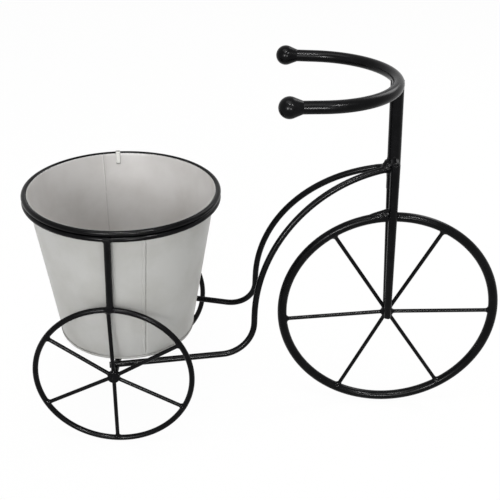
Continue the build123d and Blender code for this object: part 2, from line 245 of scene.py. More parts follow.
@dataclass(frozen=True)
class Shell:
    """A mesh as points in millimetres, with its quads and its triangles."""

    points: np.ndarray
    quads: np.ndarray
    triangles: np.ndarray = field(default_factory=lambda: np.zeros((0, 3), int))


def merged(shells: list[Shell]) -> Shell:
    """Put several meshes into one, with each one's faces renumbered by where its points start."""
    starts = np.cumsum([0] + [len(s.points) for s in shells[:-1]])
    return Shell(np.concatenate([s.points for s in shells]),
                 np.concatenate([s.quads + k for s, k in zip(shells, starts)]),
                 np.concatenate([s.triangles + k for s, k in zip(shells, starts)]))


def grid_quads(rows: int, columns: int, row_loop: bool, column_loop: bool) -> np.ndarray:
    """Quads between the points of a grid that is stored row by row.

    Args:
        rows: number of rows.
        columns: number of points in a row.
        row_loop: whether the last row joins the first.
        column_loop: whether the last column joins the first.

    Returns:
        Point numbers, four to a quad.
    """
    i = np.arange(rows if row_loop else rows - 1)[:, None]
    j = np.arange(columns if column_loop else columns - 1)[None, :]
    here, above = i * columns, (i + 1) % rows * columns
    right = (j + 1) % columns
    return np.stack([here + j, here + right, above + right, above + j], axis=-1).reshape(-1, 4)


def outward(shell: Shell) -> Shell:
    """Turn a closed mesh's faces round if its signed volume says that they point inwards.

    The volume is the sum, over the faces' triangles, of a sixth of the corners' triple product.

    Args:
        shell: the mesh.

    Returns:
        The same mesh with its faces outwards.
    """
    q, p = shell.quads, shell.points
    triangles = np.concatenate([q[:, [0, 1, 2]], q[:, [0, 2, 3]], shell.triangles])
    a, b, c = (p[triangles[:, k]] for k in range(3))
    if np.einsum("ij,ij->i", a, np.cross(b, c)).sum() >= 0:
        return shell
    return Shell(p, q[:, ::-1], shell.triangles[:, ::-1])


def capped(points: np.ndarray, around: int) -> Shell:
    """Join rings of points to a tube and close its ends with fans of triangles.

    Args:
        points: the rings' points, ring by ring, and then the middles of the first and last end.
        around: number of points in a ring.

    Returns:
        The closed mesh, with its faces outwards.
    """
    middle, ring = len(points) - 2, np.arange(around)
    last = middle - around + ring
    fans = np.concatenate([np.stack([np.roll(ring, -1), ring, np.full(around, middle)], axis=-1),
                           np.stack([last, np.roll(last, -1), np.full(around, middle + 1)], axis=-1)])
    return outward(Shell(points, grid_quads(middle // around, around, False, True), fans))


def put_piece(name: str, shells: list[Shell], finishes: list[Material], body: Body,
              replaced: list[str], finish_of: np.ndarray | None = None) -> bpy.types.Object:
    """Make a piece of the planter from meshes in millimetres.

    Args:
        name: the piece's name.
        shells: its meshes, joined to one.
        finishes: its materials.
        body: the body that it rides on.
        replaced: the CAD nodes that it stands for.
        finish_of: the material's number for each face, quads first, where it has more than one.

    Returns:
        The piece's object, at the origin.
    """
    shell = merged(shells)
    mesh = bpy.data.meshes.new(name)
    mesh.from_pydata(shell.points * MM, [], [*shell.quads.tolist(), *shell.triangles.tolist()])
    for finish in finishes:
        mesh.materials.append(finish)
    if finish_of is not None:
        mesh.polygons.foreach_set("material_index", finish_of.astype(np.int32))
    mesh.polygons.foreach_set("use_smooth", np.ones(len(mesh.polygons), bool))
    mesh.update()
    piece = bpy.data.objects.new(name, mesh)
    bpy.context.scene.collection.objects.link(piece)
    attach(piece, body.value)
    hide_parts(*replaced)
    LOG.info("%s: %d points on body %s, for %s", name, len(mesh.vertices), body.value, ", ".join(replaced))
    return piece


def dress(node: str, finish: Material) -> None:
    """Give a CAD node's object a finish in place of its plain one.

    Args:
        node: the node's name.
        finish: the material.
    """
    piece = frame["nodes"][node]
    piece.data.materials.clear()
    piece.data.materials.append(finish)
    LOG.info("%s: dressed in %s", node, finish.name)


@dataclass(frozen=True)
class Rod:
    """A straight round member with flat ends, in millimetres, which may taper."""

    start: np.ndarray
    end: np.ndarray
    radius: float
    end_radius: float | None = None

    def distance(self, points: np.ndarray) -> np.ndarray:
        """Distance from its surface, negative inside: that of a capped cylinder or cone."""
        run = self.end - self.start
        length = np.linalg.norm(run)
        along = (points - self.start) @ (run / length)
        last = self.radius if self.end_radius is None else self.end_radius
        radius = self.radius + (last - self.radius) * np.clip(along / length, 0, 1)
        off = np.linalg.norm(points - self.start - along[..., None] * (run / length), axis=-1) - radius
        past = np.abs(along - length / 2) - length / 2
        outside = np.hypot(np.maximum(off, 0), np.maximum(past, 0))
        return outside + np.minimum(np.maximum(off, past), 0)


@dataclass(frozen=True)
class Hoop:
    """A rod bent to a ring, in millimetres."""

    centre: np.ndarray
    axis: np.ndarray
    ring_r: float
    rod_r: float

    def distance(self, points: np.ndarray) -> np.ndarray:
        """Distance from its surface, negative inside: that of a torus."""
        off = points - self.centre
        height = off @ self.axis
        out = np.linalg.norm(off - height[..., None] * self.axis, axis=-1) - self.ring_r
        return np.hypot(out, height) - self.rod_r


@dataclass(frozen=True)
class Bead:
    """How much weld metal a joint has, in millimetres, and how many points its mesh has round it.

    The leg is its fillet's, it has run out at its reach, and the lump is its ripples' height.
    """

    leg: float
    reach: float
    lump: float = 0.22
    around: int = 56


RIPPLE_WAYS = np.array([(2.1, -1.7, 0.9), (1.3, 2.9, -1.2), (2.6, 0.8, 3.4)])  # columns, in radians per mm
DIP_FROM, DIP_MM = 0.72, 0.3  # from this share of its reach on, a weld's surface dips by up to so much
RAY_STEPS = 61


@dataclass(frozen=True)
class Weld:
    """Weld metal round one joint, in millimetres.

    Its surface is where a smooth union of the joint's members is zero. The union's softness is the
    bead's leg at the centre and falls to nothing at the bead's reach, where the surface dips just
    under the members. Low sine lumps stand for the ripples of the frozen puddle.
    """

    centre: np.ndarray
    members: tuple[Rod | Hoop, ...]
    bead: Bead

    def level(self, points: np.ndarray, travel: np.ndarray) -> np.ndarray:
        """The field whose zero is the weld's surface.

        Args:
            points: places, in millimetres.
            travel: their distances from the weld's centre, as a share of its reach.

        Returns:
            The field, negative inside.
        """
        soft = self.bead.leg * np.clip(1 - travel ** 2, 1e-3, None)
        near = np.stack([member.distance(points) for member in self.members])
        joined = near[0]
        for other in near[1:]:
            blend = np.clip(0.5 + 0.5 * (other - joined) / soft, 0, 1)
            joined = other * (1 - blend) + joined * blend - soft * blend * (1 - blend)
        metal = np.clip((near.min(0) - joined) / (self.bead.leg / 4), 0, 1)
        ripple = np.sin((points + 10 * self.centre) @ RIPPLE_WAYS).mean(axis=-1)
        dip = DIP_MM * np.clip((travel - DIP_FROM) / (1 - DIP_FROM), 0, 1) ** 2
        return joined - self.bead.lump * metal * ripple + dip

    def shell(self) -> Shell:
        """The weld's closed surface, found along rays that leave its centre in all directions.

        Returns:
            The mesh: rings of points between two pole points.
        """
        around, down = self.bead.around, self.bead.around // 2
        turn = np.arange(around) * 2 * np.pi / around
        fall = np.arange(1, down) * np.pi / down
        ring = np.stack([np.sin(fall)[:, None] * np.cos(turn), np.sin(fall)[:, None] * np.sin(turn),
                         np.cos(fall)[:, None] * np.ones_like(turn)], axis=-1).reshape(-1, 3)
        rays = np.concatenate([ring, [[0, 0, 1], [0, 0, -1]]])
        travel = np.linspace(0, 1, RAY_STEPS)
        level = self.level(self.centre + rays[:, None] * (travel * self.bead.reach)[:, None], travel)
        level[:, -1] = 1.0  # with the next line, so that each ray starts inside and ends outside
        level[:, 0] = np.minimum(level[:, 0], -1e-6)
        out = np.argmax(level > 0, axis=1)
        row = np.arange(len(rays))
        before, after = level[row, out - 1], level[row, out]
        share = np.where(after >= 1.0, 1.0, before / (before - after))
        reach = (travel[out - 1] + (travel[out] - travel[out - 1]) * share) * self.bead.reach
        return capped(self.centre + rays * reach[:, None], around)


def vec(x: float, y: float, z: float) -> np.ndarray:
    """A point or direction as an array."""
    return np.array([x, y, z], float)


def unit(direction: np.ndarray) -> np.ndarray:
    """A direction scaled to a length of one."""
    return direction / np.linalg.norm(direction)


@dataclass(frozen=True)
class WheelSizes:
    """A wheel's sizes in millimetres, its spokes' angles in degrees, and the leg of its spokes' welds."""

    d: float
    rod_d: float
    spoke_d: float
    hub_d: float
    hub_length: float
    spoke_angles: tuple[float, ...]
    weld_leg: float


@dataclass(frozen=True)
class StandSizes:
    """The stand's sizes in millimetres, as the CAD has them, apart from rim_weld_rise.

    The weld on the front rim is 2 mm higher than the CAD's, as the photograph shows it.
    """

    wheelbase: float = 300.8
    lean: float = math.radians(3.6)
    front: WheelSizes = WheelSizes(250.0, 10.5, 4.4, 13.6, 5.2, (2.9, 64.0, 125.2, 187.2, 245.8, 305.7), 4.6)
    rear: WheelSizes = WheelSizes(174.6, 6.1, 4.3, 13.0, 6.4, (31.5, 91.3, 145.6, 207.2, 270.4, 333.0), 3.8)
    rear_track: float = 180.1
    post_d: float = 14.0
    post_foot: float = 279.0
    bar_height: float = 395.2
    bar_tilt: float = math.radians(1.0)
    bar_d: float = 12.5
    bar_bend_r: float = 84.7
    leg_top_d: float = 10.3
    leg_foot_d: float = 7.9
    leg_top: float = 311.0
    leg_overhang: float = 4.5
    rim_weld_run: float = 24.0
    rim_weld_rise: float = 6.0
    rail_d: float = 6.8
    rail_post: float = 301.6
    rail_shoulder: float = 276.3
    rail_setback: float = 151.4
    rail_bend_y: float = 47.7
    rail_shoulder_y: float = 27.4
    rail_axle_y: float = 79.05
    rail_overhang: float = 6.0
    rail_run_z: float = 94.4
    rail_run_rise: float = 2.4
    axle_d: float = 7.2
    upright_d: float = 7.1
    ring_d: float = 205.4
    ring_rod_d: float = 5.8
    ring_z: float = 260.6
    pot_ahead: float = 3.6
    touch_gap: float = 0.1
    rail_sink: float = 1.6

    @property
    def front_x(self) -> float:
        """Where the front hub lies along X."""
        behind = self.wheelbase + self.ring_d / 2 + self.ring_rod_d / 2 - self.pot_ahead
        return (behind - self.front.d / 2) / 2

    @property
    def rear_x(self) -> float:
        """Where the back axle lies along X."""
        return self.front_x - self.wheelbase

    @property
    def pot_x(self) -> float:
        """Where the pot's middle lies along X."""
        return self.rear_x + self.pot_ahead

    def on_post(self, z: float, y: float = 0.0) -> np.ndarray:
        """The place at height z that lies y to the left of the middle of the leaning post and fork."""
        return vec(self.front_x - (z - self.front.d / 2) * math.tan(self.lean), y, z)


@dataclass(frozen=True)
class WeldSizes:
    """The weld metal at each kind of joint, in millimetres.

    The two shares say how many legs past the rim's rod a spoke's weld reaches, and the inset is how
    deep under the rim's outside it has its middle, as a share of the rod's thickness.
    """

    spoke_reach_share: float = 1.1
    upright_reach_share: float = 2.2
    spoke_inset: float = 0.75
    front_hub: Bead = Bead(2.6, 14.0, around=96)
    rear_hub: Bead = Bead(2.6, 10.5, around=96)
    rail_head: Bead = Bead(5.0, 15.0, 0.35, 96)
    rail_stub: float = 30.0
    puddle_foot: tuple[float, float, float] = (-1.6, 0.0, -2.0)
    puddle_top: tuple[float, float, float] = (0.4, 0.0, 7.5)
    puddle_foot_r: float = 4.6
    puddle_top_r: float = 3.4
    fork_lap: Bead = Bead(3.4, 8.5, 0.4)
    lap_shares: tuple[float, ...] = (0.2, 0.5)
    lap_sink: float = 0.6
    fork_cap: Bead = Bead(4.0, 8.5, 0.35, 72)
    cap_rise: float = 2.0
    cap_drop: float = 3.0
    cap_lean: float = 1.0
    cap_tip_r: float = 3.0
    cap_middle_out: float = 0.5
    cap_middle_drop: float = 1.5
    fork_rim: Bead = Bead(5.5, 14.0, 0.3, 96)
    rim_ridge: Bead = Bead(4.0, 15.0, 0.3, 96)
    ridge_thinner: float = 1.1
    ridge_share: float = 0.55
    handlebar: Bead = Bead(2.4, 10.0, 0.2, 96)
    axle_rail: Bead = Bead(3.2, 8.0, 0.3)
    upright_foot: Bead = Bead(4.2, 8.5, 0.3)
    upright_head: Bead = Bead(3.4, 8.5, 0.25)
    upright_inset: float = 1.5


@dataclass
class Wheel:
    """One spoked wheel with the weld metal at its spokes' ends."""

    centre: np.ndarray
    size: WheelSizes
    weld: WeldSizes

    def rim(self) -> Hoop:
        """The rim's hoop."""
        return Hoop(self.centre, vec(0, 1, 0), (self.size.d - self.size.rod_d) / 2, self.size.rod_d / 2)

    def spokes(self) -> list[Rod]:
        """The spokes, from the hub's middle to the middle of the rim's rod."""
        length, radius = self.rim().ring_r, self.size.spoke_d / 2
        ways = [vec(math.cos(a), 0, math.sin(a)) for a in map(math.radians, self.size.spoke_angles)]
        return [Rod(self.centre, self.centre + way * length, radius) for way in ways]

    def rim_welds(self, extra: dict[int, Rod]) -> list[Shell]:
        """Weld metal where each spoke meets the rim.

        Args:
            extra: one more member at a spoke's weld, by the spoke's number.

        Returns:
            One mesh for each spoke.
        """
        w, leg, rod_d, made = self.weld, self.size.weld_leg, self.size.rod_d, []
        for index, spoke in enumerate(self.spokes()):
            if index in extra:
                spot, members, share = spoke.end, (self.rim(), spoke, extra[index]), w.upright_reach_share
            else:
                spot = spoke.end - unit(spoke.end - self.centre) * (w.spoke_inset - 0.5) * rod_d
                members, share = (self.rim(), spoke), w.spoke_reach_share
            made.append(Weld(spot, members, Bead(leg, rod_d / 2 + leg * share)).shell())
        return made

    def hub_weld(self, others: tuple[Rod, ...], bead: Bead) -> Shell:
        """Weld metal round the hub.

        Args:
            others: what else is welded there, such as the fork legs or the axle.
            bead: how much weld metal there is.

        Returns:
            One mesh.
        """
        half = vec(0, self.size.hub_length / 2, 0)
        boss = Rod(self.centre - half, self.centre + half, self.size.hub_d / 2)
        return Weld(self.centre, (boss, *self.spokes(), *others), bead).shell()


@dataclass
class Stand:
    """The welded black stand: its CAD rods dressed in enamel, and its weld metal."""

    enamel: Material
    weld_enamel: Material
    size: StandSizes = StandSizes()
    weld: WeldSizes = WeldSizes()

    def front_wheel(self) -> Wheel:
        """The front wheel."""
        return Wheel(self.size.on_post(self.size.front.d / 2), self.size.front, self.weld)

    def rear_wheel(self, sign: int) -> Wheel:
        """The rear wheel on that side, one for the left and minus one for the right."""
        s = self.size
        return Wheel(vec(s.rear_x, sign * s.rear_track / 2, s.rear.d / 2), s.rear, self.weld)

    def leg_y(self, z: float) -> float:
        """How far a fork leg's middle lies from the wheel's plane at height z, as the CAD has it."""
        s = self.size
        low_z = s.front.d / 2 - s.leg_overhang
        low_y = s.front.hub_length / 2 + s.leg_foot_d / 2 + s.touch_gap
        rim_z = s.front.d - s.front.rod_d / 2
        rim_y = s.front.rod_d / 2 + s.leg_top_d / 2 + s.touch_gap
        past = (rim_y - low_y) * (s.post_foot - low_z) / (rim_z - low_z)
        foot_y = max(s.post_d / 2 + s.leg_top_d / 2 + s.touch_gap, low_y + past)
        return low_y + (foot_y - low_y) * (z - low_z) / (s.post_foot - low_z)

    def legs(self) -> tuple[Rod, Rod]:
        """The two fork legs."""
        s = self.size
        low = s.front.d / 2 - s.leg_overhang
        return tuple(Rod(*(s.on_post(z, sign * self.leg_y(z)) for z in (low, s.leg_top)), s.leg_foot_d / 2,
                         s.leg_top_d / 2) for sign in (1, -1))

    def rim_weld_ridge(self, rim_x: float) -> Rod:
        """The round ridge of weld metal that rises to the fork out of the top of the front rim."""
        s = self.size
        radius = s.front.rod_d / 2 - self.weld.ridge_thinner
        swing = (s.front_x - rim_x + s.rim_weld_run) / (s.front.d / 2)
        reach = s.front.d / 2 - radius
        back = vec(s.front_x - reach * math.sin(swing), 0, s.front.d / 2 + reach * math.cos(swing))
        return Rod(back, vec(rim_x, 0, s.front.d + s.rim_weld_rise - radius), radius)

    def post(self) -> Rod:
        """The head post."""
        s = self.size
        return Rod(s.on_post(s.post_foot), s.on_post(s.bar_height), s.post_d / 2)

    def rail_head(self, sign: int) -> Rod:
        """The last short stretch of a rail, at the post."""
        s = self.size
        end = s.on_post(s.rail_post, sign * (s.rail_d / 2 + s.touch_gap)) - (s.post_d / 2 - s.rail_sink, 0, 0)
        shoulder = vec(s.front_x - s.rail_setback, sign * s.rail_shoulder_y, s.rail_shoulder)
        return Rod(end, end + unit(shoulder - end) * self.weld.rail_stub, s.rail_d / 2)

    def rail_run(self, sign: int) -> Rod:
        """A rail's straight run over the axle."""
        s = self.size
        end = vec(s.rear_x - s.rail_overhang, sign * s.rail_axle_y, s.rail_run_z)
        bend = vec(s.front_x - s.rail_setback, sign * s.rail_bend_y, s.rail_run_z + s.rail_run_rise)
        return Rod(end, bend, s.rail_d / 2)

    def axle(self) -> Rod:
        """The back axle."""
        s = self.size
        half = (s.rear_track - s.rear.hub_length) / 2
        return Rod(vec(s.rear_x, -half, s.rear.d / 2), vec(s.rear_x, half, s.rear.d / 2), s.axle_d / 2)

    def pot_ring(self) -> Hoop:
        """The pot ring."""
        s = self.size
        return Hoop(vec(s.pot_x, 0, s.ring_z), vec(0, 0, 1), s.ring_d / 2, s.ring_rod_d / 2)

    def upright(self, sign: int) -> Rod:
        """The upright on that side, from the rear rim to the pot ring."""
        s = self.size
        foot = vec(s.rear_x, sign * s.rear_track / 2, s.rear.d - s.rear.rod_d / 2)
        return Rod(foot, vec(s.pot_x, sign * s.ring_d / 2, s.ring_z), s.upright_d / 2)

    def dress_rods(self) -> None:
        """Give every rod, tube, hub and ball of the stand its enamel."""
        for node in frame["record"]["behaviour"]["bodies"][Body.STAND.value]:
            if "weld" not in node:
                dress(node, self.enamel)

    def put_weld(self, node: str, shells: list[Shell]) -> None:
        """Make one piece of weld metal, named after the CAD weld node that it stands for."""
        name = node.removesuffix("s") + "_metal"
        put_piece(name, shells, [self.weld_enamel], Body.STAND, [node])

    def weld_wheels(self) -> None:
        """Weld metal of the three wheels."""
        front = self.front_wheel()
        self.put_weld("front_spoke_welds", front.rim_welds({}))
        self.put_weld("fork_hub_welds", [front.hub_weld(self.legs(), self.weld.front_hub)])
        hub_metal = []
        for side, sign in (("left", 1), ("right", -1)):
            wheel = self.rear_wheel(sign)
            self.put_weld(f"rear_{side}_spoke_welds", wheel.rim_welds({1: self.upright(sign)}))
            hub_metal.append(wheel.hub_weld((self.axle(),), self.weld.rear_hub))
        self.put_weld("axle_hub_welds", hub_metal)

    def fork_laps(self) -> list[Shell]:
        """Weld metal where the fork legs lie along the post, and over the legs' tops."""
        s, w = self.size, self.weld
        laps = []
        for sign, leg in zip((1, -1), self.legs()):
            for share in w.lap_shares:
                z = s.post_foot + share * (s.leg_top - s.post_foot)
                spot = s.on_post(z, sign * (s.post_d / 2 - w.lap_sink))
                laps.append(Weld(spot, (self.post(), leg), w.fork_lap).shell())
            tip = s.on_post(s.leg_top + w.cap_rise, sign * (s.post_d / 2 - w.cap_lean))
            cap = Rod(leg.end - (0, 0, w.cap_drop), tip, s.leg_top_d / 2, w.cap_tip_r)
            spot = s.on_post(s.leg_top - w.cap_middle_drop, sign * (s.post_d / 2 + w.cap_middle_out))
            laps.append(Weld(spot, (self.post(), leg, cap), w.fork_cap).shell())
        return laps

    def weld_head(self) -> None:
        """Weld metal at the post: rails, fork legs, front rim and handlebar."""
        s, w = self.size, self.weld
        post, legs = self.post(), self.legs()
        junction = s.on_post(s.rail_post) - (s.post_d / 2, 0, 0)
        puddle = Rod(junction + w.puddle_foot, junction + w.puddle_top, w.puddle_foot_r, w.puddle_top_r)
        members = (post, self.rail_head(1), self.rail_head(-1), *legs, puddle)
        self.put_weld("rail_head_weld", [Weld(junction, members, w.rail_head).shell()])
        self.put_weld("fork_lap_welds", self.fork_laps())
        rim, rim_top = self.front_wheel().rim(), s.on_post(s.front.d - s.front.rod_d / 2)
        ridge = self.rim_weld_ridge(rim_top[0])
        along = ridge.start + (ridge.end - ridge.start) * w.ridge_share
        self.put_weld("fork_rim_weld", [Weld(rim_top, (rim, *legs, ridge), w.fork_rim).shell(),
                                        Weld(along, (rim, ridge), w.rim_ridge).shell()])
        ahead, up = (vec(math.cos(a), 0, math.sin(a)) for a in (s.bar_tilt, s.bar_tilt + math.pi / 2))
        bar = Hoop(s.on_post(s.bar_height) - s.bar_bend_r * ahead, up, s.bar_bend_r, s.bar_d / 2)
        under = s.on_post(s.bar_height - s.bar_d / 2)
        self.put_weld("handlebar_weld", [Weld(under, (post, bar), w.handlebar).shell()])

    def weld_rear(self, pot: "Pot") -> None:
        """Weld metal of the axle and the uprights.

        Args:
            pot: the pot, whose wall the weld metal stays clear of.
        """
        s, w = self.size, self.weld
        rail_metal, foot_metal, head_metal = [], [], []
        share = s.rail_overhang / (s.wheelbase - s.rail_setback + s.rail_overhang)
        y = s.rail_axle_y + share * (s.rail_bend_y - s.rail_axle_y)
        for sign in (1, -1):
            spot = vec(s.rear_x, sign * y, s.rear.d / 2 + s.axle_d / 2)
            rail_metal.append(Weld(spot, (self.axle(), self.rail_run(sign)), w.axle_rail).shell())
            upright = self.upright(sign)
            inset = unit(upright.end - upright.start) * w.upright_inset
            members = (self.rear_wheel(sign).rim(), upright)
            foot_metal.append(Weld(upright.start + inset, members, w.upright_foot).shell())
            head = Weld(upright.end - inset, (self.pot_ring(), upright), w.upright_head).shell()
            head_metal.append(Shell(pot.kept_clear(head.points), head.quads, head.triangles))
        self.put_weld("axle_rail_welds", rail_metal)
        self.put_weld("upright_foot_welds", foot_metal)
        self.put_weld("upright_head_welds", head_metal)


@dataclass(frozen=True)
class Groove:
    """A soft groove that runs up the wall: its depth, place along the arc and width in millimetres.

    Where it is deeper than the last value, its paint is painted darker: painted shade in the groove.
    """

    depth: float
    middle: float
    width: float
    painted_shade_from: float

    def at(self, arc: np.ndarray) -> np.ndarray:
        """How deep it is at each place along the arc: a bell curve."""
        return self.depth * np.exp(-((arc - self.middle) / self.width) ** 2)


WALL_ROWS, LIP_ROWS = 60, 5  # of the wall's mesh, on each of its faces and round its lip
# each wave's height, number round the pot, start and twist
SHEET_WAVES = ((1.0, 3, 0.7, 0.0), (0.8, 5, 2.1, 1.6), (0.6, 9, 4.0, -1.0), (0.35, 17, 1.2, 2.0))
# The last of these rows, at the seam's top, are painted darker: painted shade along the fold's top edge.
SEAM_ROWS, SEAM_SHADE_ROWS = (3, 4, 5, 6, 7), (5, 6, 7)  # of the base's profile


@dataclass
class Pot:
    """The pale sheet-metal pot: two seamed wall halves, base, rim bead and rim clip.

    Lengths are in millimetres, as the CAD has them. The seams' turn, in degrees, is 1.1 less than the
    CAD's, as the photograph shows them.
    """

    outside: Material
    inside: Material
    # the paint's copy painted darker: painted shade in the seams' creases
    seam_shade: Material
    enamel: Material
    strap: Material
    size: StandSizes = StandSizes()
    sheet: float = 0.8
    foot_z: float = 99.7
    foot_seam: float = 3.4
    base_recess: float = 2.5
    waist_gap: float = 0.6
    seam_turn: float = 19.4
    clip_turn: float = math.radians(11.0)
    seam_width: float = 4.0
    seam_thickness: float = 0.6
    clip_width: float = 5.0
    clip_thickness: float = 0.8
    clip_leg: float = 13.0
    sheet_gap: float = 0.05
    rest_gap: float = 0.3
    lip_rise: float = 1.8
    weld_clearance: float = 0.25
    wave_height: float = 0.09
    seam_r: float = 95.0
    seam_clearance: float = 1.5
    seam_end_slope: float = 0.6
    seam_edge: float = 0.15
    seam_slope: float = 0.5
    crease: Groove = Groove(0.5, 4.25, 0.4, 0.15)
    inner_line: Groove = Groove(0.35, 2.8, 0.6, 0.28)
    floor_ridge: tuple[tuple[float, float], ...] = ((7.0, 0.0), (9.5, 0.45), (12.0, 0.0))
    floor_middle_r: float = 30.0
    clip_gap: float = 0.1
    clip_bend: float = 0.9
    clip_past_ring: float = 1.1
    clip_kick: tuple[tuple[float, float], ...] = ((-0.5, 0.1), (-0.12, 1.2), (0.0, 2.2))

    @property
    def bead_z(self) -> float:
        """Height of the rim bead's middle."""
        return self.size.ring_z + self.size.ring_rod_d + self.rest_gap

    @property
    def lip_z(self) -> float:
        """Height of the wall's top edge."""
        return self.bead_z + self.lip_rise

    def wall_r(self, z: np.ndarray | float) -> np.ndarray | float:
        """Outside radius of the tapered wall at height z, as the CAD has it."""
        s = self.size
        top = s.ring_d / 2 - s.ring_rod_d / 2 - self.sheet_gap
        waist = s.rear_track / 2 - s.upright_d / 2 - self.waist_gap
        return waist + (top - waist) * (z - s.rear.d) / (self.bead_z - s.rear.d)

    def kept_clear(self, points: np.ndarray) -> np.ndarray:
        """Push points that come too near the wall out to the welds' clearance from it.

        Args:
            points: places in millimetres.

        Returns:
            The places, moved straight away from the pot's axis where they were too near.
        """
        out = points[:, :2] - (self.size.pot_x, 0)
        far = np.linalg.norm(out, axis=1)
        need = self.wall_r(points[:, 2]) + self.weld_clearance
        scale = np.maximum(need / far, 1)
        return np.concatenate([(self.size.pot_x, 0) + out * scale[:, None], points[:, 2:]], axis=1)

    def sheet_wave(self, turn: np.ndarray, z: np.ndarray) -> np.ndarray:
        """How far the rolled sheet lies inside its true cone, in millimetres, never outside it.

        Slow sines round the pot and up it, each with its height, number, start and twist, which fade
        out at the bead and at the base seam that hold the sheet round.

        Args:
            turn: angles round the pot, in radians.
            z: heights.

        Returns:
            The inward distances.
        """
        up = np.clip((z - self.foot_z) / (self.bead_z - self.foot_z), 0, 1)
        held = np.sin(np.pi * up) ** 0.6
        waves = sum(height * (1 - np.sin(number * turn + start + twist * up))
                    for height, number, start, twist in SHEET_WAVES)
        return held * self.wave_height * waves

    def wall_half(self, name: str, turn: float, replaced: str) -> None:
        """One half of the wall: its sheet, with the lock seam folded up along its leading edge.

        The grid runs round the half and once round the sheet's section: up the outside, over the
        rolled lip, and down the inside. Outside radius is the cone's, less the sheet's waves, plus
        the fold, whose height follows a steep smooth step at both its edges.

        Args:
            name: the piece's name.
            turn: where its leading edge lies, in degrees.
            replaced: the CAD node that it stands for.
        """
        s, t = self.size, self.sheet
        fine_to, fine_from = math.degrees(self.seam_width / self.seam_r) + 1.2, 180 - 0.6
        # Columns lie close together over the seam and along the other edge.
        stretches = ((0, fine_to, 21), (fine_to, fine_from, 149), (fine_from, 180, 5))
        runs = [np.linspace(start, end, steps + 1)[1:] for start, end, steps in stretches]
        turns = np.radians(np.concatenate([[0], *runs]))
        face = np.linspace(self.foot_z + t + self.sheet_gap, self.lip_z - t / 2, WALL_ROWS)
        over = np.linspace(0, np.pi, LIP_ROWS + 2)[1:-1]
        rise = np.concatenate([face, face[-1] + t / 2 * np.sin(over), face[::-1]])
        depth = np.concatenate([np.zeros(WALL_ROWS), t / 2 * (1 - np.cos(over)), np.full(WALL_ROWS, t)])
        z, along = np.meshgrid(rise, turns, indexing="ij")
        arc = along * self.wall_r(z)
        fold_low, fold_top = self.foot_z + self.foot_seam, s.ring_z - s.ring_rod_d / 2
        ends = (np.clip((z - fold_low - self.seam_clearance) / self.seam_end_slope, 0, 1)
                * np.clip((fold_top - self.seam_clearance - z) / self.seam_end_slope, 0, 1))
        step = (np.clip((arc - self.seam_edge) / self.seam_slope, 0, 1)
                * np.clip((self.seam_width - arc) / self.seam_slope, 0, 1))
        step = step * step * (3 - 2 * step)
        outside = (depth == 0)[:, None]
        fold = self.seam_thickness * step * ends * outside
        crease = self.crease.at(arc) * ends * outside
        inner_line = self.inner_line.at(arc) * ~outside
        angle = along + math.radians(turn)
        radius = self.wall_r(z) - depth[:, None] - self.sheet_wave(angle, z) + fold - crease - inner_line
        points = np.stack([s.pot_x + radius * np.cos(angle), radius * np.sin(angle), z], axis=-1)
        rows, columns = z.shape
        half = np.arange(rows // 2)
        quads = [grid_quads(rows, columns, True, False)]
        for column, flip in ((0, 1), (columns - 1, -1)):
            up, down = half * columns + column, (rows - 1 - half) * columns + column
            quads.append(np.stack([up[:-1], up[1:], down[1:], down[:-1]], axis=-1)[:, ::flip])
        shell = outward(Shell(points.reshape(-1, 3), np.concatenate(quads)))
        inside = np.repeat(np.arange(rows) >= WALL_ROWS + LIP_ROWS - 1, columns)
        # Faces deep in the crease and along the inner line take the paint's copy painted darker: painted
        # shade.
        in_painted_shade = ((crease > self.crease.painted_shade_from) | (inner_line > self.inner_line.painted_shade_from)).reshape(-1)
        finish_of = np.where(in_painted_shade[shell.quads].all(axis=1), 2, inside[shell.quads].all(axis=1))
        finishes = [self.outside, self.inside, self.seam_shade]
        put_piece(name, [shell], finishes, Body.POT, [replaced], finish_of)

    def base(self) -> None:
        """The base: a raised disc, folded round the wall's bottom edge in a standing double seam.

        A closed profile of radius and height turned round the pot's axis. The seam's height and
        radius waver by a tenth of a millimetre, as a hand-closed seam does. Its first rows round the
        folds of the sheet by a few tenths of a millimetre, and the floor has one low ridge.
        """
        s, t, gap, r = self.size, self.sheet, self.sheet_gap, self.wall_r
        low, floor, top = self.foot_z, self.foot_z + self.base_recess, self.foot_z + self.foot_seam
        over = [*((r(floor) - inset, floor + t + rise) for inset, rise in self.floor_ridge),
                (self.floor_middle_r, floor + t), (0, floor + t)]
        under = [(radius, z - t) for radius, z in reversed(over)]
        profile = np.array([
            (r(low) - 2 * t - gap, low + 0.3), (r(low) - 1.5 * t, low), (r(low) + 0.3 * t, low),
            (r(low) + gap + t, low + 0.35), (r(low) + gap + t + 0.02, low + 0.9),
            (r(top) + gap + t, top - 0.4), (r(top) + gap + 0.6 * t, top), (r(top) + gap + 0.1, top - 0.15),
            (r(low + t) + gap, low + t),
            (r(low + t) - t - gap, low + t), (r(low + t) - t - gap - 0.12, low + t + 0.5),
            (r(floor + t) - t - gap - 0.15, floor + t - 0.35), (r(floor + t) - t - gap - 0.5, floor + t),
            *over, *under,
            (r(floor) - 2 * t - gap - 0.5, floor), (r(floor) - 2 * t - gap - 0.15, floor - 0.4),
        ])
        around = 240
        turn = np.arange(around) * 2 * np.pi / around
        waver = 0.08 * (np.sin(7 * turn + 0.4) + 0.6 * np.sin(13 * turn + 1.9))
        number = np.arange(len(profile))
        on_seam = np.isin(number, SEAM_ROWS)[:, None]
        radius = profile[:, :1] - np.abs(waver) * on_seam * 0.8
        height = profile[:, 1:] + waver * (on_seam & (profile[:, 1:] > low + 2))
        points = np.stack([s.pot_x + radius * np.cos(turn), radius * np.sin(turn), height], axis=-1)
        top_middle, under_middle = np.flatnonzero(profile[:, 0] == 0)
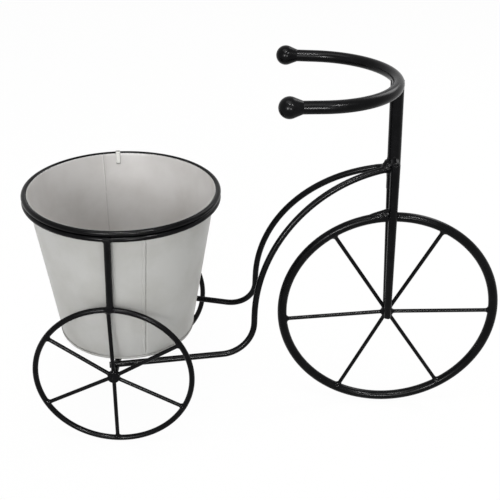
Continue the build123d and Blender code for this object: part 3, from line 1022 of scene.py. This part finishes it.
        rings = np.roll(number, -under_middle)[1:-1]
        middles = [vec(s.pot_x, 0, profile[row, 1]) for row in (under_middle, top_middle)]
        shell = capped(np.concatenate([points[rings].reshape(-1, 3), middles]), around)
        # The seam's top rows take the paint's copy painted darker: painted shade where the fold meets the
        # wall.
        in_seam_shade = np.concatenate([np.repeat(np.isin(rings, SEAM_SHADE_ROWS), around), [False, False]])
        finish_of = np.concatenate([in_seam_shade[shell.quads].all(axis=1), np.zeros(len(shell.triangles), bool)])
        finishes = [self.outside, self.seam_shade]
        put_piece("pot_base_seamed", [shell], finishes, Body.POT, ["pot_base"], finish_of)

    def clip(self) -> None:
        """The rim clip: a strap with rounded edges, carried along a bent path.

        The path comes up inside the wall from a small inward kick, bends over the lip and lies on
        the bead. Across it the section is a rounded rectangle, a superellipse of power five.
        """
        s, bend, thick = self.size, self.clip_bend, self.clip_thickness
        bead_top = self.bead_z + s.ring_rod_d / 2 + self.clip_gap
        top, low_z = bead_top + thick / 2, bead_top - self.clip_leg
        inner, low_r = (self.wall_r(z) - self.sheet - self.clip_gap - thick / 2 for z in (top, low_z))
        over = np.linspace(np.pi, np.pi / 2, 9)
        kick = np.array(self.clip_kick) + (low_r, low_z)
        path = np.concatenate([
            kick[:-1],
            np.linspace(kick[-1], (inner, top - bend), 8),
            np.stack([inner + bend + bend * np.cos(over), top - bend + bend * np.sin(over)], axis=-1)[1:],
            np.linspace((inner + 2 * bend, top), (s.ring_d / 2 + self.clip_past_ring, top), 6)[1:],
        ])
        along = np.gradient(path, axis=0)
        along /= np.linalg.norm(along, axis=1)[:, None]
        across = np.stack([-along[:, 1], along[:, 0]], axis=-1)
        around = 28
        angle = np.arange(around) * 2 * np.pi / around
        u, v = (np.sign(wave) * np.abs(wave) ** (2 / 5) * width / 2
                for wave, width in ((np.cos(angle), self.clip_width), (np.sin(angle), thick)))
        radius, height = path[:, :1] + across[:, :1] * v, path[:, 1:] + across[:, 1:] * v
        points = np.stack([u + 0 * radius, radius, height], axis=-1).reshape(-1, 3)
        points = np.concatenate([points, [vec(0, *path[0]), vec(0, *path[-1])]])
        cos, sin = math.cos(self.clip_turn), math.sin(self.clip_turn)
        points = points @ np.array([(cos, sin, 0), (-sin, cos, 0), (0, 0, 1)]) + (s.pot_x, 0, 0)
        shell = capped(points, around)
        put_piece("rim_clip_strap", [shell], [self.strap], Body.POT, ["rim_clip"])

    def build(self) -> None:
        """Make the pot's pieces and dress its bead."""
        self.wall_half("pot_wall_front_seamed", self.seam_turn - 90, "pot_wall_front")
        self.wall_half("pot_wall_back_seamed", self.seam_turn + 90, "pot_wall_back")
        self.base()
        self.clip()
        dress("pot_rim_bead", self.enamel)


@dataclass(frozen=True)
class PhotoCamera:
    """The photograph's viewpoint, found from the wheels, rails, mouth and handlebar.

    Lengths are in millimetres, angles in degrees, and the focal length and the middle of view in
    pixels of a picture 500 pixels wide and high.
    """

    place: tuple[float, float, float] = (-18.52, -840.39, 651.08)
    yaw: float = -0.4673
    pitch: float = 28.6569
    roll: float = -1.5924
    focal_px: float = 863.91
    middle_px: tuple[float, float] = (244.73, 255.24)
    picture_px: float = 500.0
    sensor_mm: float = 36.0

    def build(self) -> None:
        """Make the camera and set it as the scene's."""
        yaw, pitch, roll = (math.radians(a) for a in (self.yaw, self.pitch, self.roll))
        ahead = vec(math.sin(yaw) * math.cos(pitch), math.cos(yaw) * math.cos(pitch), -math.sin(pitch))
        level = vec(math.cos(yaw), -math.sin(yaw), 0)
        down = np.cross(ahead, level)
        right = math.cos(roll) * level + math.sin(roll) * down
        up = math.sin(roll) * level - math.cos(roll) * down
        data = bpy.data.cameras.new("photo_camera")
        data.sensor_fit = "HORIZONTAL"
        data.sensor_width = self.sensor_mm
        data.lens = self.focal_px / self.picture_px * self.sensor_mm
        data.shift_x = (self.picture_px / 2 - self.middle_px[0]) / self.picture_px
        data.shift_y = (self.middle_px[1] - self.picture_px / 2) / self.picture_px
        data.clip_start, data.clip_end = 0.01, 50.0
        camera = bpy.data.objects.new("photo_camera", data)
        turn = Matrix(np.stack([right, up, -ahead], axis=1).tolist()).to_4x4()
        camera.matrix_world = Matrix.Translation(Vector(self.place) * MM) @ turn
        bpy.context.scene.collection.objects.link(camera)
        bpy.context.scene.camera = camera
        LOG.info("camera at %s mm, lens %.1f mm", self.place, data.lens)


@dataclass(frozen=True)
class SoftLamp:
    """A rectangular studio lamp that points at the planter.

    A glint lamp shows only as a small bright reflection, and adds no light to the matt surfaces.
    """

    name: str
    place: tuple[float, float, float]
    size: tuple[float, float]
    power: float
    glint: bool = False
    target: tuple[float, float, float] = (-0.05, 0.0, 0.2)

    def build(self) -> None:
        """Make the lamp."""
        data = bpy.data.lights.new(self.name, "AREA")
        data.shape = "RECTANGLE"
        data.size, data.size_y = self.size
        data.energy = self.power
        lamp = bpy.data.objects.new(self.name, data)
        lamp.location = self.place
        lamp.visible_diffuse = not self.glint
        lamp.rotation_euler = (Vector(self.target) - Vector(self.place)).to_track_quat("-Z", "Y").to_euler()
        bpy.context.scene.collection.objects.link(lamp)
        LOG.info("lamp %s: %.0f W", self.name, self.power)


@dataclass(frozen=True)
class Studio:
    """Floor, world and lamps: plain, pale and soft."""

    ambient: float = 0.48
    floor_half: float = 6.0
    lamps: tuple[SoftLamp, ...] = (
        SoftLamp("overhead_panel", (-0.3, -0.5, 2.2), (1.6, 1.0), 22.0),
        SoftLamp("back_right_panel", (1.1, 1.1, 1.5), (0.8, 0.8), 13.0),
        SoftLamp("front_left_panel", (-0.7, -2.35, 0.95), (1.3, 0.8), 28.5),
        SoftLamp("low_lamp_left", (-0.62, -1.98, 0.71), (0.18, 0.10), 26.0, glint=True),
        SoftLamp("low_lamp_right", (0.46, -2.0, 0.61), (0.18, 0.10), 26.0, glint=True),
        SoftLamp("high_lamp_middle", (-0.06, -1.2, 2.0), (0.18, 0.10), 26.0, glint=True),
        SoftLamp("high_lamp_right", (0.88, -1.27, 1.7), (0.10, 0.18), 26.0, glint=True),
    )

    def build(self) -> None:
        """Make the floor, the world and the lamps."""
        half = self.floor_half
        mesh = bpy.data.meshes.new("studio_floor")
        corners = [(-half, -half, 0), (half, -half, 0), (half, half, 0), (-half, half, 0)]
        mesh.from_pydata(corners, [], [(0, 1, 2, 3)])
        mesh.materials.append(WhiteSweep().build())
        floor = bpy.data.objects.new("studio_floor", mesh)
        bpy.context.scene.collection.objects.link(floor)
        world = bpy.data.worlds.new("studio_world")
        world.use_nodes = True
        tree = world.node_tree
        tree.nodes.clear()
        strength = add_node(tree, "MapRange", {"To Min": self.ambient, "To Max": 1.0},
                            {"Value": seen_share(tree)})
        sky = add_node(tree, "Background", {"Color": linear(WHITE)},
                       {"Strength": strength.outputs["Result"]})
        add_node(tree, "OutputWorld", links={"Surface": sky.outputs["Background"]})
        bpy.context.scene.world = world
        for lamp in self.lamps:
            lamp.build()
        bpy.context.scene.view_settings.view_transform = "Standard"


def main() -> None:
    """Build the planter's looks, the studio and the camera."""
    logging.basicConfig(level=logging.INFO, format="%(name)s %(message)s")
    enamel, weld_enamel = BLACK_ENAMEL.build(), WELD_ENAMEL.build()
    outside, inside, seam_shade = OFF_WHITE_SHEET.build(), OFF_WHITE_INSIDE_PAINTED_LIGHT.build(), OFF_WHITE_PAINTED_SHADE.build()
    pot = Pot(outside, inside, seam_shade, enamel, GALVANISED_STRAP.build())
    stand = Stand(enamel, weld_enamel)
    stand.dress_rods()
    stand.weld_wheels()
    stand.weld_head()
    stand.weld_rear(pot)
    pot.build()
    Studio().build()
    PhotoCamera().build()


if __name__ == "__main__":
    main()
